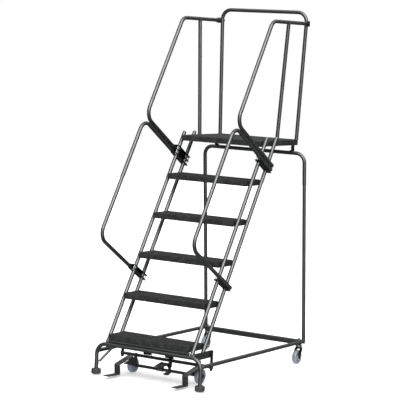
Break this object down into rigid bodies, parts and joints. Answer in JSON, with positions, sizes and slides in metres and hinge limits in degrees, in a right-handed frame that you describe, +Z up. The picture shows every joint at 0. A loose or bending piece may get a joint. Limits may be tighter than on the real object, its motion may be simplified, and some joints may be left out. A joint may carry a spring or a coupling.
{
  "type": "library ladder",
  "caption": "Rolling stair ladder with sheet treads, a guarded platform, tube handrails, swivel casters behind and a pedal-worked front wheel frame between rubber feet.",
  "frame": {"origin": "middle of the ladder's footprint, on the floor", "axes": "+X to the right of a person climbing, +Y from the bottom step to the back, +Z up"},
  "size_m": [0.853, 1.4538, 2.4187],
  "materials": {
    "tube": "semi-gloss dark grey powder coat",
    "tread": "matt dark grey grip sheet",
    "clamp": "near-black powder coat",
    "cap": "moulded grey plug",
    "rubber": "moulded dark grey rubber",
    "wheel": "blue-grey moulded wheel",
    "zinc": "zinc plate"
  },
  "bodies": {
    "root": {"stringer_front_left": "tube", "stringer_front_right": "tube", "stringer_rear_left": "tube", "stringer_rear_right": "tube", "handrail_lower_left": "tube", "handrail_lower_right": "tube", "handrail_upper_left": "tube", "handrail_upper_right": "tube", "side_post_left": "tube", "side_post_right": "tube", "back_guard": "tube", "rear_frame": "tube", "rear_cross_member": "tube", "side_rail_left": "tube", "side_rail_right": "tube", "foot_frame": "tube", "sill_bar": "tube", "foot_brace_left": "tube", "foot_brace_right": "tube", "base_plate_left": "tube", "base_plate_right": "tube", "pivot_bar": "tube", "tread_1": "tread", "tread_2": "tread", "tread_3": "tread", "tread_4": "tread", "tread_5": "tread", "platform": "tread", "rail_clamp_lower_left": "clamp", "rail_clamp_lower_right": "clamp", "rail_clamp_upper_left": "clamp", "rail_clamp_upper_right": "clamp", "guard_clamp_left": "clamp", "guard_clamp_right": "clamp", "platform_bracket_left": "clamp", "platform_bracket_right": "clamp", "pivot_hanger_left": "clamp", "pivot_hanger_right": "clamp", "latch_quadrant": "clamp", "stringer_cap_front_left": "cap", "stringer_cap_front_right": "cap", "stringer_cap_rear_left": "cap", "stringer_cap_rear_right": "cap", "foot_pad_left": "rubber", "foot_pad_right": "rubber", "caster_stem_left": "zinc", "caster_stem_right": "zinc"},
    "rocker": {"rocker_arm_left": "tube", "rocker_arm_right": "tube", "axle_bar": "tube", "pedal_left": "tube", "pedal_right": "tube", "pedal_spring": "zinc"},
    "release": {"release_pedal": "tube"},
    "front_wheel_left": {"front_wheel_left": "wheel"},
    "caster_left": {"caster_fork_left": "zinc"},
    "rear_wheel_left": {"rear_wheel_left": "wheel"},
    "front_wheel_right": {"front_wheel_right": "wheel"},
    "caster_right": {"caster_fork_right": "zinc"},
    "rear_wheel_right": {"rear_wheel_right": "wheel"}
  },
  "joints": [
    {"name": "wheel_frame_swing", "type": "hinge", "parent": "root", "child": "rocker", "pos_m": [0, -0.4247, 0.1195], "axis": [-1, 0, 0], "range_deg": [0, 35]},
    {"name": "release_press", "type": "hinge", "parent": "rocker", "child": "release", "pos_m": [0, -0.4187, 0.05], "axis": [1, 0, 0], "range_deg": [0, 12], "stiffness_Nm_per_rad": 2, "springref_deg": -20.05},
    {"name": "front_wheel_left_spin", "type": "hinge", "parent": "rocker", "child": "front_wheel_left", "pos_m": [-0.257, -0.4187, 0.05], "axis": [1, 0, 0], "continuous": true},
    {"name": "caster_left_swivel", "type": "hinge", "parent": "root", "child": "caster_left", "pos_m": [-0.368, 0.6973, 0.11], "axis": [0, 0, 1], "continuous": true},
    {"name": "rear_wheel_left_spin", "type": "hinge", "parent": "caster_left", "child": "rear_wheel_left", "pos_m": [-0.368, 0.6773, 0.0475], "axis": [1, 0, 0], "continuous": true},
    {"name": "front_wheel_right_spin", "type": "hinge", "parent": "rocker", "child": "front_wheel_right", "pos_m": [0.257, -0.4187, 0.05], "axis": [1, 0, 0], "continuous": true},
    {"name": "caster_right_swivel", "type": "hinge", "parent": "root", "child": "caster_right", "pos_m": [0.368, 0.6973, 0.11], "axis": [0, 0, 1], "continuous": true},
    {"name": "rear_wheel_right_spin", "type": "hinge", "parent": "caster_right", "child": "rear_wheel_right", "pos_m": [0.368, 0.6773, 0.0475], "axis": [1, 0, 0], "continuous": true}
  ]
}
